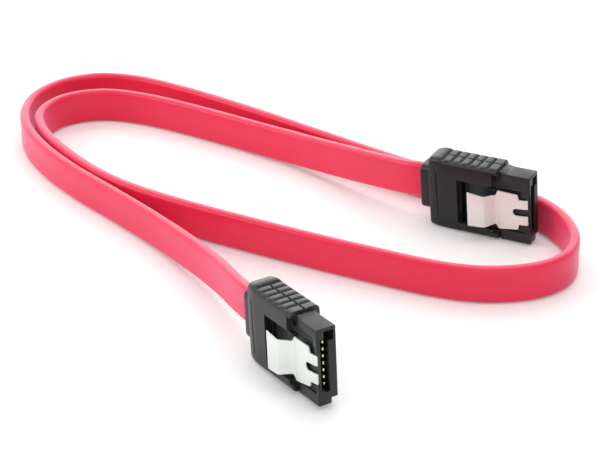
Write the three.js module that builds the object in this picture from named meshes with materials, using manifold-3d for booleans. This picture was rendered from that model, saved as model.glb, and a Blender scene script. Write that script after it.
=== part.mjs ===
// Flat drive data cable: two latching plugs joined by one flat cable that stands on its edge.
// Millimetres, +Z up. The origin lies under the middle of the two plugs, on the surface they stand on.
// Each plug is drawn in its own frame: x runs from the rear of the hood to the mating face,
// y goes across it with the latch on the -y side, and z goes up its tall side.
import * as THREE from 'three';
import { mergeVertices } from 'three/addons/utils/BufferGeometryUtils.js';
import Module from 'manifold-3d';

const wasm = await Module();
wasm.setup();

// Fits between pieces
const clearance = 0.3;          // between two pieces that nest in each other
const cutThrough = 1;           // how far a cutting tool runs past the face it opens
const weldDistance = 1e-4;      // corners nearer than this are one corner

// Hood, the soft grip moulded round the rear of a plug
const hoodLength = 15.3;
const hoodHeight = 15.0;
const hoodThickness = 5.8;
const hoodCorner = 1.5;
const hoodTaperLength = 3.4;    // the rear end narrows over this length
const hoodTaperHeight = 0.45;   // on each narrow side
const hoodTaperThickness = 0.6; // on each wide face
const collarLength = 2.0;
const collarHeight = 9.3;
const collarThickness = 4.4;
const collarCorner = 1.4;
const ribCount = 6;
const ribPitch = 1.85;
const ribStart = 4.3;
const grooveWidth = 0.6;
const grooveDepth = 0.45;
const partingWidth = 0.36;
const windowStart = 6.1;
const windowBottom = 2.0;
const windowTopWall = 3.8;      // from the window to the top of the hood
const latchWallEnd = 13.7;      // the wide wall on the latch side stops short of the front
const frontStrip = 1.3;         // height of the narrow sides that run on past it

// Nose, the hard insulator that carries the contacts
const plugLength = 20.6;
const noseBottom = 0.9;
const noseDrop = 1.2;           // from the top of the hood to the top of the nose
const noseThickness = 3.7;
const noseStart = 7.0;
const spigotInset = 0.65;       // from the nose's top and bottom to the spigot's
const spigotThickness = 3.5;
const footHeight = 1.1;         // the low foot under the latch side of the nose
const footWidth = 2.6;
const lipLength = 0.35;
const keeperLength = 1.8;       // small lugs beside the front of the thumb pad
const keeperHeight = 0.5;
const keeperStart = 11.9;

// L-shaped slot for the drive's tongue
const slotDepth = 7.5;
const slotBottom = 2.2;
const slotTopWall = 0.6;
const slotWidth = 1.35;
const slotNearWall = 1.35;      // from the latch face of the nose to the slot
const keyHeight = 1.4;
const keyWidth = 0.55;

// Contacts
const contactCount = 7;
const contactPitch = 1.27;
const contactDrop = 0.05;       // from the middle of the slot to the middle contact
const contactWidth = 0.5;
const contactThickness = 0.2;
const contactBow = 0.35;        // how far a contact stands into the slot
const contactTipSetback = 0.4;
const contactBend = 5.4;        // where a contact leaves the wall, measured back from its tip
const channelDepth = 0.45;
const channelSideGap = 0.18;
const combSetback = 1.8;        // from the mating face to the walls between the channels
const combRoom = 0.7;           // past the outer contacts

// Latch, one bent strip of spring steel
const latchThickness = 0.25;
const latchDrop = 0.3;          // from the middle of the window to the latch's centreline
const padStart = 8.9;
const padFlat = 3.4;            // length of the thumb pad's flat end
const padRearHalf = 3.6;
const padFrontHalf = 3.0;
const padRise = 1.4;            // how far the thumb pad stands proud of the hood
const creaseStart = 14.2;
const plateStart = 14.6;
const plateFront = 18.1;
const plateRearHalf = 4.0;
const plateFrontHalf = 3.65;
const prongStart = 18.4;
const prongHalf = 2.6;
const forkHalf = 0.75;
const forkDepth = 2.9;
const prongSetback = 0.2;       // from the tip of a prong to the lip of the nose
const prongTipLength = 0.7;     // the tips bend this much of the prongs inward
const latchLift = 0.2;          // from the bed of the nose to the front of the plate
const plateSlope = 0.094;
const bedDepth = 0.5;           // how deep the latch's bed lies in the nose
const rearBedDepth = 0.55;
const pocketLength = 0.6;
const pocketDepth = 0.22;       // below the bed, under each prong's tip

// Inner mould round the soldered joints
const mouldLength = 2.5;
const mouldInset = 3.0;         // from the hood's top and bottom to the mould's
const mouldThickness = 3.2;

// Cable
const cableMiddle = 8.3;        // height at which the cable enters the hood
const cableWidth = 7.1;
const cableThickness = 2.0;
const cableCorner = 0.8;
const jacketEnd = 0.3;          // wall at the narrow edges
const jacketWall = 0.3;         // wall at the wide faces
const jacketWeb = 0.34;         // web between the two bores
const wireDiameter = 0.95;
const wireGap = 0.12;
const drainDiameter = 0.34;
const cableSteps = 80;
const jacketInHood = 1.6;       // the jacket ends this far inside the hood
const wireSides = 8;
const drainSides = 6;

// Where the plugs lie: the rear of the hood at floor level, then turn, nose-up pitch and lean in degrees
const plugPlaces = {
  a: { x: -23.98, y: -17.32, z: -0.18, turn: -58.4, pitch: 3.3, lean: 0 },
  b: { x: 8.8, y: 32.91, z: -0.02, turn: -30.6, pitch: 2.0, lean: 3.5 },
};

// The cable's route from plug a to plug b, along its centreline
const onFloor = 3.65;
const cableRoute = [
  [-23.4, -18.26, 8.18], [-25.49, -14.86, 7.95], [-28.03, -9.44, 7.25], [-31.73, -0.24, 6.0], [-35.63, 7.86, 5.0],
  [-43.73, 21.16, 3.9], [-52.03, 32.16, onFloor], [-61.93, 44.36, onFloor], [-68.53, 54.26, onFloor],
  [-73.03, 64.06, onFloor], [-74.63, 72.86, onFloor], [-73.23, 81.06, onFloor], [-68.43, 87.56, onFloor],
  [-61.03, 90.66, onFloor], [-52.73, 89.06, onFloor], [-42.53, 83.06, onFloor], [-28.23, 72.06, onFloor],
  [5.47, 43.46, onFloor], [18.97, 34.26, onFloor], [27.67, 27.56, onFloor], [31.57, 20.16, onFloor],
  [32.47, 12.26, onFloor], [30.47, 5.86, onFloor], [25.57, 1.66, onFloor], [18.27, -0.04, onFloor],
  [10.07, 0.96, onFloor], [-6.53, 8.86, onFloor], [-43.03, 30.36, onFloor], [-54.03, 39.16, onFloor],
  [-63.03, 50.46, onFloor], [-69.83, 63.06, onFloor], [-71.33, 71.46, onFloor], [-67.73, 78.66, onFloor],
  [-60.43, 81.76, onFloor], [-50.83, 79.46, onFloor], [-21.43, 59.66, 4.05], [-13.33, 52.26, 4.9],
  [3.27, 35.61, 7.85], [6.2, 33.86, 8.17], [9.67, 31.83, 8.31],
];

// Values that follow from the sizes above
const hoodHalf = hoodThickness / 2;
const noseHalf = noseThickness / 2;
const spigotHalf = spigotThickness / 2;
const noseFront = hoodLength + clearance;
const noseTop = hoodHeight - noseDrop;
const noseMiddle = (noseBottom + noseTop) / 2;
const spigotHeight = noseTop - noseBottom - 2 * spigotInset;
const windowTop = hoodHeight - windowTopWall;
const latchMiddle = (windowBottom + windowTop) / 2 - latchDrop;
const slotTop = noseTop - slotTopWall;
const contactMiddle = (slotBottom + slotTop) / 2 - contactDrop;
const mouldHeight = hoodHeight - 2 * mouldInset;
const slotNear = slotNearWall - noseHalf;
const slotFar = slotNear + slotWidth;
const slotStart = plugLength - slotDepth;
const channelFloor = slotNear - channelDepth;
const bedFloor = bedDepth - noseHalf;
const rearBedFloor = rearBedDepth - noseHalf;
const bedBottom = latchMiddle - plateRearHalf - clearance;
const bedTop = latchMiddle + plateRearHalf + clearance;
const prongEnd = plugLength - lipLength - prongSetback;
const tailLength = 0.3;
const cavityStart = noseStart - tailLength - clearance;
const wireEnd = cavityStart - mouldLength - clearance;
const boreHalf = (cableWidth / 2 - jacketEnd - jacketWeb / 2) / 2;
const boreMiddle = jacketWeb / 2 + boreHalf;

// A geometry's triangles as a solid that can be cut and joined
function solid(geometry) {
  const plain = geometry.index ? geometry.toNonIndexed() : geometry.clone();
  for (const name of Object.keys(plain.attributes)) {
    if (name !== 'position') plain.deleteAttribute(name);
  }
  const merged = mergeVertices(plain, weldDistance);
  return new wasm.Manifold(new wasm.Mesh({
    numProp: 3,
    vertProperties: new Float32Array(merged.attributes.position.array),
    triVerts: new Uint32Array(merged.index.array),
  }));
}

// A solid back as a geometry
function geometryOf(body) {
  const mesh = body.getMesh();
  const positions = new Float32Array(mesh.numVert * 3);
  for (let i = 0; i < mesh.numVert; i += 1) {
    for (let k = 0; k < 3; k += 1) positions[3 * i + k] = mesh.vertProperties[mesh.numProp * i + k];
  }
  const geometry = new THREE.BufferGeometry();
  geometry.setAttribute('position', new THREE.BufferAttribute(positions, 3));
  geometry.setIndex(new THREE.BufferAttribute(new Uint32Array(mesh.triVerts), 1));
  return geometry;
}

// A block given by its two ends along each axis
function block([x0, x1], [y0, y1], [z0, z1]) {
  const geometry = new THREE.BoxGeometry(x1 - x0, y1 - y0, z1 - z0);
  geometry.translate((x0 + x1) / 2, (y0 + y1) / 2, (z0 + z1) / 2);
  return solid(geometry);
}

// The two ends of a stretch given by its middle and half its length
function around(middle, half) {
  return [middle - half, middle + half];
}

// A shape drawn in (x, z), given thickness along y
function extrudeAlongY(shape, y0, y1, curveSegments = 6) {
  const geometry = new THREE.ExtrudeGeometry(shape, { depth: y1 - y0, bevelEnabled: false, curveSegments });
  geometry.rotateX(Math.PI / 2);
  geometry.translate(0, y1, 0);
  return solid(geometry);
}

// A shape drawn in (x, y), given height along z
function extrudeAlongZ(shape, z0, z1, curveSegments = 6) {
  const geometry = new THREE.ExtrudeGeometry(shape, { depth: z1 - z0, bevelEnabled: false, curveSegments });
  geometry.translate(0, 0, z0);
  return solid(geometry);
}

// A shape drawn in (y, z), given length along x
function extrudeAlongX(shape, x0, x1, curveSegments = 4) {
  const geometry = new THREE.ExtrudeGeometry(shape, { depth: x1 - x0, bevelEnabled: false, curveSegments });
  geometry.applyMatrix4(new THREE.Matrix4().set(0, 0, 1, x0, 1, 0, 0, 0, 0, 1, 0, 0, 0, 0, 0, 1));
  return solid(geometry);
}

// A rounded rectangle about (u, v), with a set number of straight pieces in each corner
function roundedRectangle(u, v, width, height, radius, pieces) {
  const points = [];
  const corners = [[1, 1, 0], [-1, 1, 90], [-1, -1, 180], [1, -1, 270]];
  for (const [su, sv, from] of corners) {
    const cu = u + su * (width / 2 - radius);
    const cv = v + sv * (height / 2 - radius);
    for (let i = 0; i <= pieces; i += 1) {
      const angle = THREE.MathUtils.degToRad(from + 90 * i / pieces);
      points.push(new THREE.Vector2(cu + radius * Math.cos(angle), cv + radius * Math.sin(angle)));
    }
  }
  return points;
}

// The hood's outline seen across one of its sides: straight, narrowing smoothly at the rear
function taperedOutline(low, high, narrowing) {
  const shape = new THREE.Shape();
  shape.moveTo(0, low + narrowing);
  shape.quadraticCurveTo(hoodTaperLength / 3, low, hoodTaperLength, low);
  shape.lineTo(hoodLength, low);
  shape.lineTo(hoodLength, high);
  shape.lineTo(hoodTaperLength, high);
  shape.quadraticCurveTo(hoodTaperLength / 3, high, 0, high - narrowing);
  shape.closePath();
  return shape;
}

function makeHood() {
  const section = roundedRectangle(0, hoodHeight / 2, hoodThickness, hoodHeight, hoodCorner, 4);
  const collar = roundedRectangle(0, cableMiddle, collarThickness, collarHeight, collarCorner, 3);
  const acrossHood = around(0, hoodHalf + cutThrough);
  let hood = extrudeAlongX(new THREE.Shape(section), 0, hoodLength)
    .intersect(extrudeAlongY(taperedOutline(0, hoodHeight, hoodTaperHeight), -hoodHalf, hoodHalf))
    .intersect(extrudeAlongZ(taperedOutline(-hoodHalf, hoodHalf, hoodTaperThickness), 0, hoodHeight))
    .add(extrudeAlongX(new THREE.Shape(collar), -collarLength, cutThrough));

  // Grip ribs on both narrow sides: cross grooves between them, and a parting groove along them
  const ribEnd = ribStart + ribPitch * ribCount;
  for (const side of [[-cutThrough, grooveDepth], [hoodHeight - grooveDepth, hoodHeight + cutThrough]]) {
    for (let i = 0; i < ribCount; i += 1) {
      hood = hood.subtract(block(around(ribStart + ribPitch * i, grooveWidth / 2), acrossHood, side));
    }
    hood = hood.subtract(block([ribStart, ribEnd + cutThrough], around(0, partingWidth / 2), side));
  }

  // Room for the nose's spigot, the inner mould and the cable, and the window over the latch
  return hood
    .subtract(block(
      [cavityStart, hoodLength + cutThrough],
      around(0, spigotHalf + clearance),
      around(noseMiddle, spigotHeight / 2 + clearance),
    ))
    .subtract(block(
      [wireEnd - clearance, cavityStart + cutThrough],
      around(0, mouldThickness / 2 + clearance),
      around(hoodHeight / 2, mouldHeight / 2 + clearance),
    ))
    .subtract(block(
      [-collarLength - cutThrough, wireEnd],
      around(0, cableThickness / 2 + clearance),
      around(cableMiddle, cableWidth / 2 + 1.5 * clearance),
    ))
    .subtract(block(
      [windowStart, hoodLength + cutThrough],
      [-hoodHalf - cutThrough, rearBedFloor],
      [windowBottom, windowTop],
    ))
    .subtract(block(
      [latchWallEnd, hoodLength + cutThrough],
      [-hoodHalf - cutThrough, -spigotHalf],
      [frontStrip, hoodHeight - frontStrip],
    ));
}

function makeNose() {
  const outside = -noseHalf - cutThrough;
  let nose = block([noseFront, plugLength], [-noseHalf, noseHalf], [noseBottom, noseTop])
    .add(block([noseFront, plugLength], [-noseHalf, footWidth - noseHalf], [noseBottom - footHeight, noseMiddle]))
    .add(block([noseStart, noseFront + cutThrough], around(0, spigotHalf), around(noseMiddle, spigotHeight / 2)));

  // Bed for the latch, the deeper bed under the thumb pad, and pockets for the tips of the two prongs
  const pocketFloor = bedFloor + pocketDepth;
  nose = nose
    .subtract(block([noseFront - cutThrough, prongEnd], [outside, bedFloor], [bedBottom, bedTop]))
    .subtract(block([noseStart - cutThrough, noseFront - clearance], [outside, rearBedFloor], [bedBottom, bedTop]))
    .subtract(block([latchWallEnd - clearance, noseFront], [outside, rearBedFloor], [frontStrip, noseTop]));
  for (const side of [-1, 1]) {
    const across = around(latchMiddle + side * (prongHalf + forkHalf) / 2, (prongHalf - forkHalf + clearance) / 2);
    nose = nose.subtract(block([prongEnd - pocketLength, prongEnd + prongSetback], [outside, pocketFloor], across));
  }

  // Small lugs beside the thumb pad
  for (const side of [-1, 1]) {
    const middle = latchMiddle + side * (plateRearHalf + clearance - keeperHeight);
    nose = nose.add(block(
      [keeperStart, keeperStart + keeperLength],
      [-spigotHalf - clearance, rearBedFloor + clearance],
      around(middle, keeperHeight / 2),
    ));
  }

  // The L-shaped slot, and the seven channels that hold the contacts
  const mouth = plugLength + cutThrough;
  nose = nose
    .subtract(block([slotStart, mouth], [slotNear, slotFar], [slotBottom, slotTop]))
    .subtract(block([slotStart, mouth], [slotFar - clearance, slotFar + keyWidth], [slotTop - keyHeight, slotTop]));
  const combHalf = contactPitch * (contactCount - 1) / 2 + contactWidth / 2 + combRoom;
  nose = nose.subtract(block(
    [plugLength - combSetback, mouth],
    [channelFloor, slotNear + clearance / 3],
    around(contactMiddle, combHalf),
  ));
  for (const z of contactHeights()) {
    const channel = around(z, contactWidth / 2 + channelSideGap);
    nose = nose.subtract(block([noseStart - cutThrough, mouth], [channelFloor, slotNear + clearance / 3], channel));
  }
  return nose;
}

function contactHeights() {
  const heights = [];
  for (let i = 0; i < contactCount; i += 1) {
    heights.push(contactMiddle + contactPitch * (i - (contactCount - 1) / 2));
  }
  return heights;
}

// A strip of even thickness along a line of points in (x, y)
function strip(points, thickness) {
  const left = [];
  const right = [];
  points.forEach(([x, y], i) => {
    const [ax, ay] = points[Math.max(i - 1, 0)];
    const [bx, by] = points[Math.min(i + 1, points.length - 1)];
    const length = Math.hypot(bx - ax, by - ay);
    const nx = -(by - ay) / length * thickness / 2;
    const ny = (bx - ax) / length * thickness / 2;
    left.push(new THREE.Vector2(x + nx, y + ny));
    right.unshift(new THREE.Vector2(x - nx, y - ny));
  });
  return new THREE.Shape([...left, ...right]);
}

// One contact: a straight tail in its channel, a bow into the slot, and a tip that turns back to the wall
function makeContact(z) {
  const rest = slotNear - contactThickness / 2;
  const rise = contactBow;
  const tip = plugLength - contactTipSetback;
  const line = [
    [noseStart - tailLength, rest], [tip - contactBend, rest], [tip - 0.85 * contactBend, rest + 0.2 * rise],
    [tip - 0.63 * contactBend, rest + 0.8 * rise], [tip - 0.44 * contactBend, rest + rise],
    [tip - 0.26 * contactBend, rest + 0.75 * rise], [tip - 0.09 * contactBend, rest + 0.15 * rise], [tip, rest],
  ];
  return extrudeAlongZ(strip(line, contactThickness), z - contactWidth / 2, z + contactWidth / 2);
}

// The latch: a bent strip, cut to its outline of thumb pad, barbed plate and two prongs
function makeLatch() {
  const frontY = bedFloor - latchLift - latchThickness / 2;
  const tipY = bedFloor + pocketDepth - latchLift - latchThickness / 2;
  const rearY = frontY - plateSlope * (prongEnd - plateStart);
  const padY = -hoodHalf - padRise;
  const line = [
    [prongEnd, tipY], [prongEnd - prongTipLength, frontY], [plateStart + 0.2, rearY],
    [creaseStart, rearY + 0.1], [creaseStart - 0.6, rearY - 0.35],
    [padStart + padFlat + 0.4, padY + 0.3], [padStart + padFlat - 0.4, padY], [padStart, padY + 0.05],
  ];
  const corners = [
    [padStart - cutThrough, padRearHalf], [padStart + padFlat, padFrontHalf + 0.2],
    [creaseStart - 0.3, padFrontHalf], [plateStart - 0.3, plateRearHalf],
    [plateFront, plateFrontHalf], [prongStart, prongHalf], [prongEnd + cutThrough, prongHalf],
    [prongEnd + cutThrough, forkHalf],
  ];
  const forkRound = prongEnd - forkDepth + forkHalf;
  const outline = new THREE.Shape();
  outline.moveTo(corners[0][0], latchMiddle - corners[0][1]);
  for (const [x, half] of corners.slice(1)) outline.lineTo(x, latchMiddle - half);
  outline.lineTo(forkRound, latchMiddle - forkHalf);
  outline.absarc(forkRound, latchMiddle, forkHalf, -Math.PI / 2, Math.PI / 2, true);
  for (const [x, half] of corners.reverse()) outline.lineTo(x, latchMiddle + half);
  outline.closePath();
  const bent = extrudeAlongZ(strip(line, latchThickness), bedBottom, bedTop);
  return bent.intersect(extrudeAlongY(outline, padY - cutThrough, 0));
}

function makeInnerMould() {
  const section = roundedRectangle(0, hoodHeight / 2, mouldThickness, mouldHeight, clearance, 1);
  return extrudeAlongX(new THREE.Shape(section), cavityStart - mouldLength, cavityStart);
}

// A section swept along the cable's route. Its first coordinate points down and its second across the cable.
const routePoints = cableRoute.map((p) => new THREE.Vector3(...p));
const routeCurve = new THREE.CatmullRomCurve3(routePoints, false, 'centripetal');

function sweep(section, curve) {
  const settings = { steps: cableSteps, extrudePath: curve, bevelEnabled: false, curveSegments: 1 };
  return solid(new THREE.ExtrudeGeometry(section, settings));
}

// The wires follow the same route and run on past the stripped ends of the jacket
function wireCurve() {
  const bare = wireEnd - jacketInHood;
  const first = routeCurve.getPoint(0).addScaledVector(routeCurve.getTangent(0), -bare);
  const last = routeCurve.getPoint(1).addScaledVector(routeCurve.getTangent(1), bare);
  return new THREE.CatmullRomCurve3([first, ...routeCurve.points, last], false, 'centripetal');
}

function circle(middle, diameter, sides) {
  const points = [];
  for (let i = 0; i < sides; i += 1) {
    const angle = 2 * Math.PI * (i + 0.5) / sides;
    points.push(new THREE.Vector2(middle + diameter / 2 * Math.cos(angle), diameter / 2 * Math.sin(angle)));
  }
  return new THREE.Shape(points);
}

function makeJacket() {
  const section = new THREE.Shape(roundedRectangle(0, 0, cableWidth, cableThickness, cableCorner, 2));
  const boreHeight = cableThickness - 2 * jacketWall;
  for (const side of [-1, 1]) {
    const bore = roundedRectangle(side * boreMiddle, 0, 2 * boreHalf, boreHeight, boreHeight / 4, 1);
    section.holes.push(new THREE.Path(bore.reverse()));
  }
  return sweep(section, routeCurve);
}

// Colours and finishes
const hoodPlastic = new THREE.MeshStandardMaterial({ color: 0x2b2d2d, roughness: 0.5, metalness: 0 });
const nosePlastic = new THREE.MeshStandardMaterial({ color: 0x262828, roughness: 0.42, metalness: 0 });
const springSteel = new THREE.MeshStandardMaterial({ color: 0xdedcd8, roughness: 0.25, metalness: 1 });
const contactGold = new THREE.MeshStandardMaterial({ color: 0xd8bd7a, roughness: 0.3, metalness: 1 });
const mouldPlastic = new THREE.MeshStandardMaterial({ color: 0x222323, roughness: 0.6, metalness: 0 });
const jacketVinyl = new THREE.MeshStandardMaterial({ color: 0xe6304f, roughness: 0.4, metalness: 0 });
const wireFoam = new THREE.MeshStandardMaterial({ color: 0xe9e9e4, roughness: 0.6, metalness: 0 });
const tinnedCopper = new THREE.MeshStandardMaterial({ color: 0xb9b5ad, roughness: 0.35, metalness: 1 });

const cable = new THREE.Group();

function addPiece(parent, name, body, material) {
  const mesh = new THREE.Mesh(geometryOf(body), material);
  mesh.name = name;
  parent.add(mesh);
}

for (const [letter, place] of Object.entries(plugPlaces)) {
  const plug = new THREE.Group();
  plug.position.set(place.x, place.y, place.z);
  const [lean, pitch, turn] = [place.lean, -place.pitch, place.turn].map(THREE.MathUtils.degToRad);
  plug.rotation.set(lean, pitch, turn, 'ZYX');
  addPiece(plug, `hood_${letter}`, makeHood(), hoodPlastic);
  addPiece(plug, `nose_${letter}`, makeNose(), nosePlastic);
  addPiece(plug, `latch_${letter}`, makeLatch(), springSteel);
  addPiece(plug, `inner_mould_${letter}`, makeInnerMould(), mouldPlastic);
  contactHeights().forEach((z, i) => addPiece(plug, `contact_${letter}${i + 1}`, makeContact(z), contactGold));
  cable.add(plug);
}

addPiece(cable, 'cable_jacket', makeJacket(), jacketVinyl);
const wires = wireCurve();
const firstWire = jacketWeb / 2 + clearance / 2 + wireDiameter / 2;
const secondWire = firstWire + wireDiameter + wireGap;
const drain = secondWire + wireDiameter / 2 + clearance / 2 + drainDiameter / 2;
for (const [pair, side] of [[1, -1], [2, 1]]) {
  addPiece(cable, `pair_${pair}_wire_inner`, sweep(circle(side * firstWire, wireDiameter, wireSides), wires), wireFoam);
  addPiece(cable, `pair_${pair}_wire_outer`, sweep(circle(side * secondWire, wireDiameter, wireSides), wires), wireFoam);
  addPiece(cable, `pair_${pair}_drain_wire`, sweep(circle(side * drain, drainDiameter, drainSides), wires), tinnedCopper);
}

export default cable;
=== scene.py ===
import math

import bmesh
import bpy
from mathutils import Euler, Matrix, Vector


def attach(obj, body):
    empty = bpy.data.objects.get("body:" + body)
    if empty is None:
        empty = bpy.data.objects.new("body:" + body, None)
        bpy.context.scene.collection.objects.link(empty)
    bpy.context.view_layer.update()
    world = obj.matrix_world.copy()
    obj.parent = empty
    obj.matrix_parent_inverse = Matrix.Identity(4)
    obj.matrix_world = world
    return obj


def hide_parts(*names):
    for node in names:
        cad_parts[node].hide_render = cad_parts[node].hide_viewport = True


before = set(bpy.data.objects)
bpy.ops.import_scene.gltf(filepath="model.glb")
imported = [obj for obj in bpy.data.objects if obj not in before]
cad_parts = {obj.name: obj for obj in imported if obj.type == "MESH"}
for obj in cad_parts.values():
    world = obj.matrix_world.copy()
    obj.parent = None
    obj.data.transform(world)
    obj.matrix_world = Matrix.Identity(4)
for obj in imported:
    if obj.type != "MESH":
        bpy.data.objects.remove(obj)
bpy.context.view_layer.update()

MM = 0.001

# Camera
CAMERA_TARGET = Vector((-17.53, 31.11, 0.0))
CAMERA_DISTANCE = 384.0
CAMERA_ELEVATION = math.radians(27.0)
CAMERA_ROLL = math.radians(-0.7)
CAMERA_LENS = 120.0
SENSOR_WIDTH = 36.0
NEAR_CLIP = 0.01             # metres

# Where the plugs lie: the rear of the hood at floor level, then turn, nose-up pitch and lean in degrees
PLUG_PLACES = {
    "a": {"rear": (-23.98, -17.32, -0.18), "turn": -58.4, "pitch": 3.3, "lean": 0.0},
    "b": {"rear": (8.8, 32.91, -0.02), "turn": -30.6, "pitch": 2.0, "lean": 3.5},
}

# Cable: its section, and its route from plug a to plug b along the centreline
CABLE_WIDTH = 7.1
CABLE_THICKNESS = 2.0
CABLE_CORNER = 0.85
CABLE_CORNER_STEPS = 6
CABLE_WAIST = 0.05
WAIST_REACH = 0.9
WAIST_STEPS = 12
CABLE_RING_STEP = 1.25
CABLE_TWIST_LENGTH = 28.0
ROUTE_STEPS = 14
LYING = 3.65                 # height of the centreline where the cable lies on the floor
CABLE_ROUTE = [
    (-23.4, -18.26, 8.18), (-25.49, -14.86, 7.95), (-28.03, -9.44, 7.25), (-31.73, -0.24, 6.0),
    (-35.63, 7.86, 5.0), (-43.73, 21.16, 3.9), (-52.03, 32.16, LYING), (-61.93, 44.36, LYING),
    (-68.53, 54.26, LYING), (-73.03, 64.06, LYING), (-74.63, 72.86, LYING), (-73.23, 81.06, LYING),
    (-68.43, 87.56, LYING), (-61.03, 90.66, LYING), (-52.73, 89.06, LYING), (-42.53, 83.06, LYING),
    (-28.23, 72.06, LYING), (5.47, 43.46, LYING), (18.97, 34.26, LYING), (27.67, 27.56, LYING),
    (31.57, 20.16, LYING), (32.47, 12.26, LYING), (30.47, 5.86, LYING), (25.57, 1.66, LYING),
    (18.27, -0.04, LYING), (10.07, 0.96, LYING), (-6.53, 8.86, LYING), (-43.03, 30.36, LYING),
    (-54.03, 39.16, LYING), (-63.03, 50.46, LYING), (-69.83, 63.06, LYING), (-71.33, 71.46, LYING),
    (-67.73, 78.66, LYING), (-60.43, 81.76, LYING), (-50.83, 79.46, LYING), (-21.43, 59.66, 4.05),
    (-13.33, 52.26, 4.9), (3.27, 35.61, 7.85), (6.2, 33.86, 8.17), (9.67, 31.83, 8.31),
]

# Hood
HOOD_LENGTH = 14.3
HOOD_HALF_Y = 2.9
HOOD_HALF_Z = 7.5
HOOD_CORNER = 1.0
HOOD_CROWN = 0.1             # how much each wide face bulges in its middle
TAPER_LENGTH = 3.4
TAPER_Y = 0.4
TAPER_Z = 0.42
REAR_ROUND = 0.5
REAR_ROUND_Y = 0.22
LOW_FILL = 0.6               # how much of the rear's taper the low side fills again
FRONT_ROUND = 0.16
FRONT_ROUND_LENGTH = 0.2
SOFT_END = (0.4, 1.0)        # the shapes of the top and the low side fade in over this share of the height
HUMP = 0.02                  # the smooth rear of the top side stands a little higher
HUMP_RISE = (0.0, 2.0)
RIB_DROP = 0.3               # and the ribbed run in front of it stands this much lower
RIB_DROP_RUN = (1.6, 3.6)
RIB_START = 3.0
RIB_PITCH = 1.85
RIB_COUNT = 6
RIB_STEPS = 12
RIB_ENDS = (2.1, 2.75)       # the grooves between the ribs fade out here, from the middle to each side
ON_NARROW = (0.8, 0.93)      # and start on the narrow sides, at this share of the half height
GROOVE_DEPTH = 0.42
GROOVE_REACH = 0.5
GROOVE_POWER = 1.4
PARTING_DEPTH = 0.42
PARTING_REACH = 0.13
PARTING_STARTS = (RIB_START - 0.3, RIB_START + 0.5)
SEAM_X = 1.75
SEAM_BOW = 0.4
SEAM_BOW_TOP = 12.3
SEAM_BOW_HEIGHT = 10.3
SEAM_DEPTH = 0.24
SEAM_REACH = 0.11
SEAM_LOW_END = (1.7, 2.4)
SEAM_HIGH_END = (11.9, 12.6)
SEAM_MARGIN = 0.3            # the seam is only on what lies within this of the wide faces
WINDOW_X = 6.1
WINDOW_Y = -1.3
WINDOW_Z = (2.0, 11.2)
WINDOW_EDGE = 0.12
LATCH_WALL_END = 13.3        # the wide wall on the latch side stops short of the front
LATCH_WALL_EDGE = 0.15
FRONT_STRIP = 1.3

# Collar at the rear of the hood
COLLAR_LENGTH = 2.0
COLLAR_HALF_Y = 2.2
COLLAR_HALF_Z = 4.55
COLLAR_MIDDLE = 7.8
COLLAR_CORNER = 1.2
COLLAR_ROUND = 0.3
COLLAR_ROUND_STEPS = 6
COLLAR_FLARE = ((-1.0, 0.0), (-0.35, 0.0), (-0.14, 0.03), (-0.04, 0.09), (0.0, 0.18))  # x, then how far out
COLLAR_FLARE_Y = 0.3         # the share of the flare that its narrow direction has

# Nose
PLUG_LENGTH = 20.6
NOSE_START = 7.0             # rear end of the spigot that the hood holds
NOSE_FRONT = 14.33           # where the full nose starts
NOSE_HALF_Y = 1.85
NOSE_Z = (0.9, 13.8)
NOSE_EDGE = 0.14
NOSE_FINE_ROUND = 0.045
NOSE_RAMP = 0.35             # the top rises this much where it meets the hood
RAMP_PROFILE = ((-0.2, 1.0), (0.5, 0.75), (1.2, 0.3))  # x from NOSE_FRONT, then the share of the rise
RAMP_END = 2.2
RELIEF_RADIUS = 1.1
RELIEF_STEPS = 8
RELIEF_LOW = 0.6
SPIGOT_HALF_Y = 1.75
SPIGOT_Z = (1.55, 13.15)
SPIGOT_EDGE = 0.1
FOOT_Y = (-1.85, 0.75)
FOOT_Z = (-0.2, 1.6)
FOOT_EDGE = 0.3

# Bed of the latch in the nose
BED_Y = -1.35
BED_Z = (2.0, 10.6)
BED_EDGE = 0.15
REAR_BED_Y = -1.3
REAR_BED_REACH = 0.2
LATCH_MIDDLE = 6.3
PRONG_END = 20.05
PRONG_HALF = 2.6
PRONG_ROOM = 0.3
FORK_HALF = 0.75
RUN_EDGE = 0.1
POCKET_LENGTH = 0.6
POCKET_AHEAD = 0.2
POCKET_DEPTH = 0.22
POCKET_EDGE = 0.05
GUIDE_X = (11.9, 13.7)
GUIDE_Y = (-2.05, -1.0)
GUIDE_OFFSET = 3.8
GUIDE_HALF = 0.25
GUIDE_EDGE = 0.08
SHADOW_GROOVE_Z = (10.5, 12.15)
SHADOW_GROOVE_Y = -1.18
SHADOW_GROOVE_END = 19.5
SHADOW_GROOVE_EDGE = 0.3

# Slot and contact channels in the nose
SLOT_DEPTH = 7.5
SLOT_Y = (-0.5, 0.85)
SLOT_Z = (2.2, 13.2)
KEY_Z = (11.4, 13.2)
KEY_Y = 1.35
LIP_DEPTH = 0.5              # a lip on the slot's far side, at its mouth
LIP_Y = 0.34
CONTACT_COUNT = 7
CONTACT_PITCH = 1.27
CONTACT_MIDDLE = 6.95
CHANNEL_HALF = 0.43
CHANNEL_Y = -0.95
COMB_SETBACK = 1.8           # the bars between the channels end this far behind the mouth
COMB_Y = -1.0
COMB_Z = (2.5, 12.0)
RIM_SETBACK = 0.9            # and the wall behind them is thinned over this length
RIM_Y = -1.22

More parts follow.
